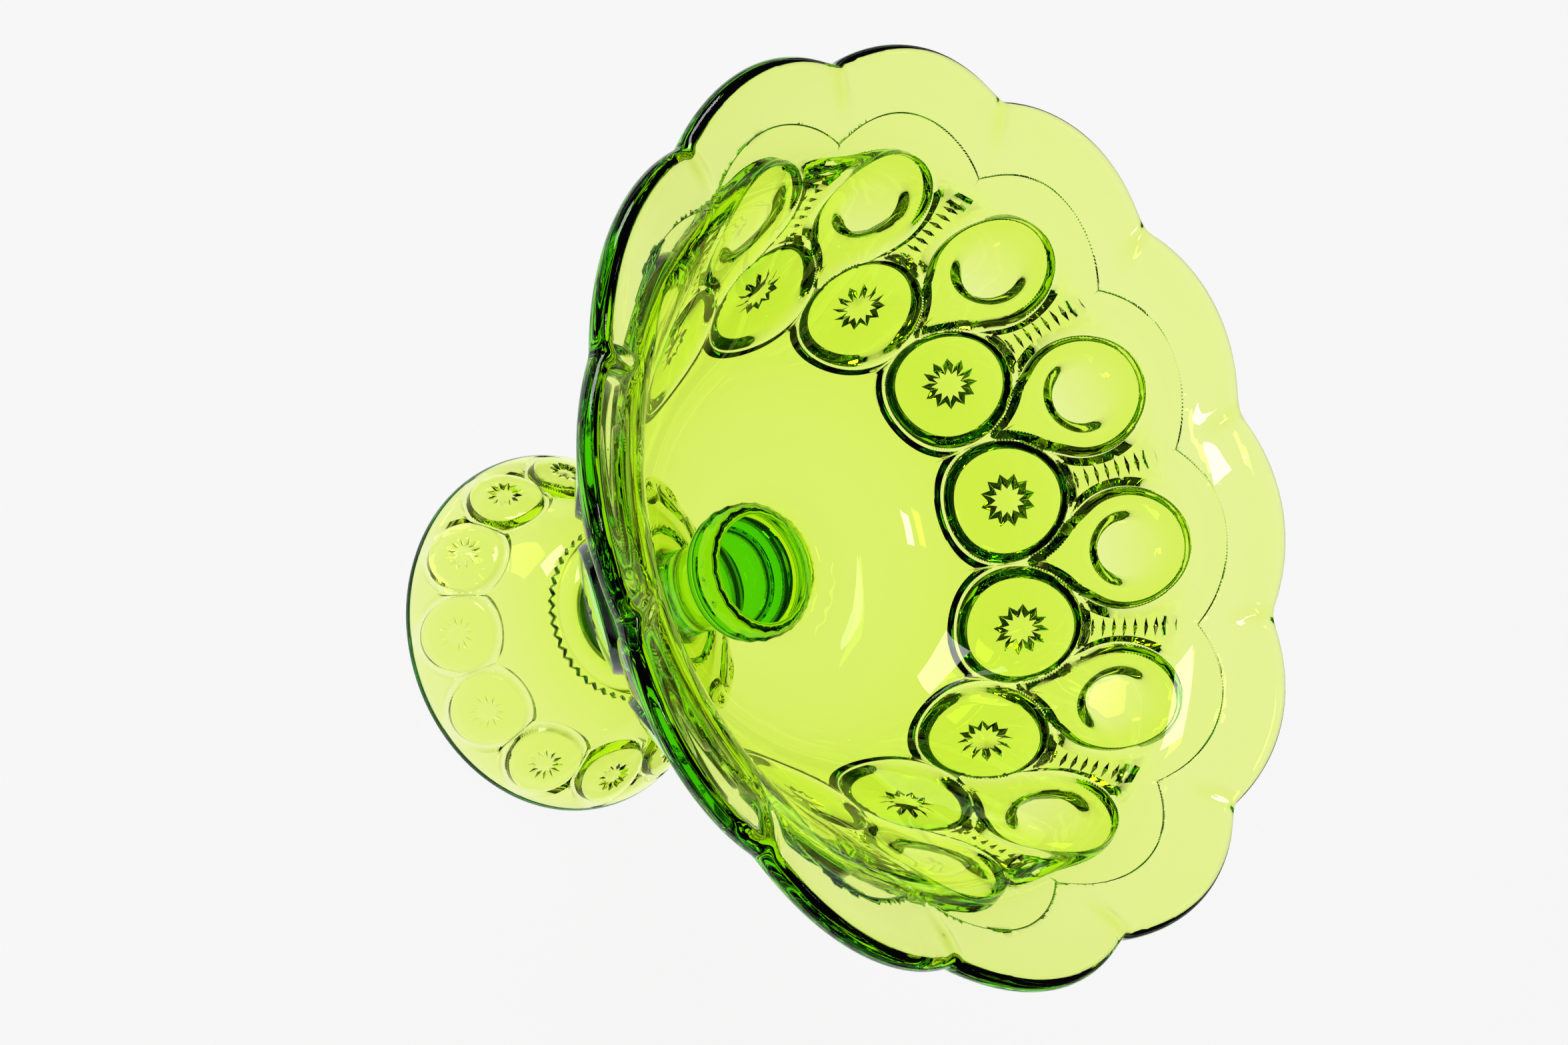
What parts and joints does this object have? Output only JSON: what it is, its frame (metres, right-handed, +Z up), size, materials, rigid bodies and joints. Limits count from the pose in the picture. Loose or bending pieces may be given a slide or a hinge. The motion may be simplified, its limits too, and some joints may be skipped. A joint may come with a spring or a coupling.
{
  "type": "footed compote",
  "caption": "Footed pressed-glass compote: a scalloped flared bowl with raised ovals and star buttons, on a waisted stem and a domed foot.",
  "frame": {"origin": "centre of the foot's resting ring, on the surface it stands on", "axes": "+Z up the stem, along the axis of symmetry; +X through the middle of a star button"},
  "size_m": [0.2466, 0.2466, 0.2003],
  "materials": {
    "green_glass": "fire-polished clear green"
  },
  "bodies": {
    "root": {"bowl": "green_glass", "stem": "green_glass", "foot": "green_glass"}
  },
  "joints": []
}
